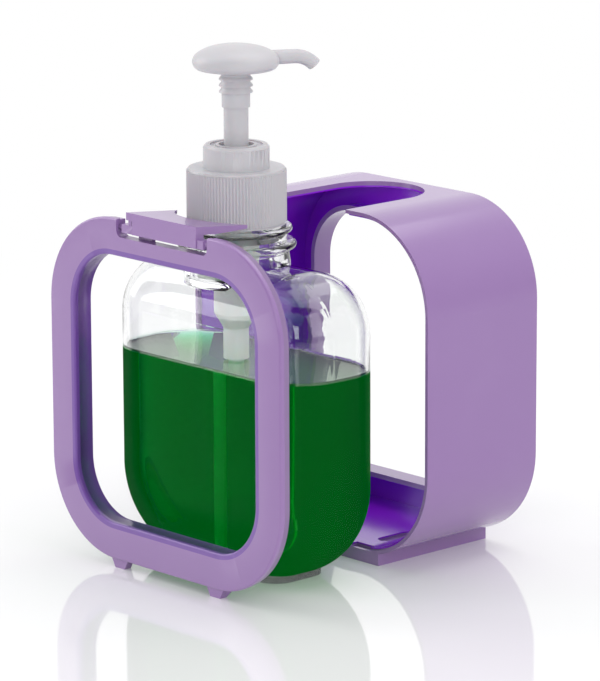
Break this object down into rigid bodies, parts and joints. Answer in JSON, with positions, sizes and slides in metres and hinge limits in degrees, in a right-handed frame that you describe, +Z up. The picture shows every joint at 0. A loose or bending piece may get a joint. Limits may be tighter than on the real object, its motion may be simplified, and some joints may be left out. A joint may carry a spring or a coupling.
{
  "type": "soap pump bottle with open case",
  "caption": "Clear flat pump bottle of green hand soap standing between the front frame and the rear sleeve of its lilac case.",
  "frame": {"origin": "on the table, on the axis of the bottle's neck and pump", "axes": "+X across the case to the right seen from the front, +Y from the front frame to the rear sleeve, +Z up"},
  "size_m": [0.112, 0.1145, 0.1728],
  "materials": {
    "lilac_case": "satin gloss moulded",
    "clear_bottle": "clear gloss moulded",
    "green_soap": "clear liquid",
    "white_closure": "satin moulded",
    "natural_pump": "translucent moulded",
    "foam_liner": "foam",
    "spring_steel": "drawn wire"
  },
  "bodies": {
    "bottle": {"bottle": "clear_bottle", "liquid_soap": "green_soap"},
    "rear_sleeve": {"rear_sleeve": "lilac_case"},
    "front_frame": {"front_frame": "lilac_case"},
    "collar_tongue": {"collar_tongue": "lilac_case"},
    "pump_unit": {"pump_housing": "natural_pump", "pump_collar": "white_closure", "neck_gasket": "foam_liner", "ball_cage": "natural_pump", "dip_tube": "natural_pump", "return_spring": "spring_steel"},
    "closure_cap": {"closure_cap": "white_closure"},
    "pump_stem": {"pump_stem": "white_closure", "pump_piston": "natural_pump", "piston_plug": "natural_pump"},
    "pump_head": {"pump_head": "white_closure"},
    "inlet_ball": {"inlet_ball": "spring_steel"}
  },
  "joints": [
    {"name": "sleeve_slide", "type": "slide", "parent": "bottle", "child": "rear_sleeve", "axis": [0, 1, 0], "range_m": [-0.008, 0.04]},
    {"name": "frame_slide", "type": "slide", "parent": "bottle", "child": "front_frame", "axis": [0, -1, 0], "range_m": [0, 0.04]},
    {"name": "tongue_hinge", "type": "hinge", "parent": "front_frame", "child": "collar_tongue", "pos_m": [0, -0.03045, 0.1143], "axis": [1, 0, 0], "range_deg": [0, 75]},
    {"name": "pump_lift", "type": "slide", "parent": "bottle", "child": "pump_unit", "axis": [0, 0, 1], "range_m": [0, 0.00635]},
    {"name": "cap_turn", "type": "hinge", "parent": "pump_unit", "child": "closure_cap", "pos_m": [0, 0, 0.1238], "axis": [0, 0, 1], "range_deg": [0, 540]},
    {"name": "pump_press", "type": "slide", "parent": "pump_unit", "child": "pump_stem", "axis": [0, 0, -1], "range_m": [0, 0.016], "stiffness_N_per_m": 400, "springref_m": -0.01, "deforming": ["return_spring"]},
    {"name": "nozzle_swivel", "type": "hinge", "parent": "pump_stem", "child": "pump_head", "pos_m": [0, 0, 0.1679], "axis": [0, 0, 1], "continuous": true},
    {"name": "ball_lift", "type": "slide", "parent": "pump_unit", "child": "inlet_ball", "axis": [0, 0, 1], "range_m": [0, 0.0012]}
  ],
  "couplings": [
    {"joint": "cap_turn", "follows": "pump_lift", "rad_per_m": 1484.2}
  ]
}
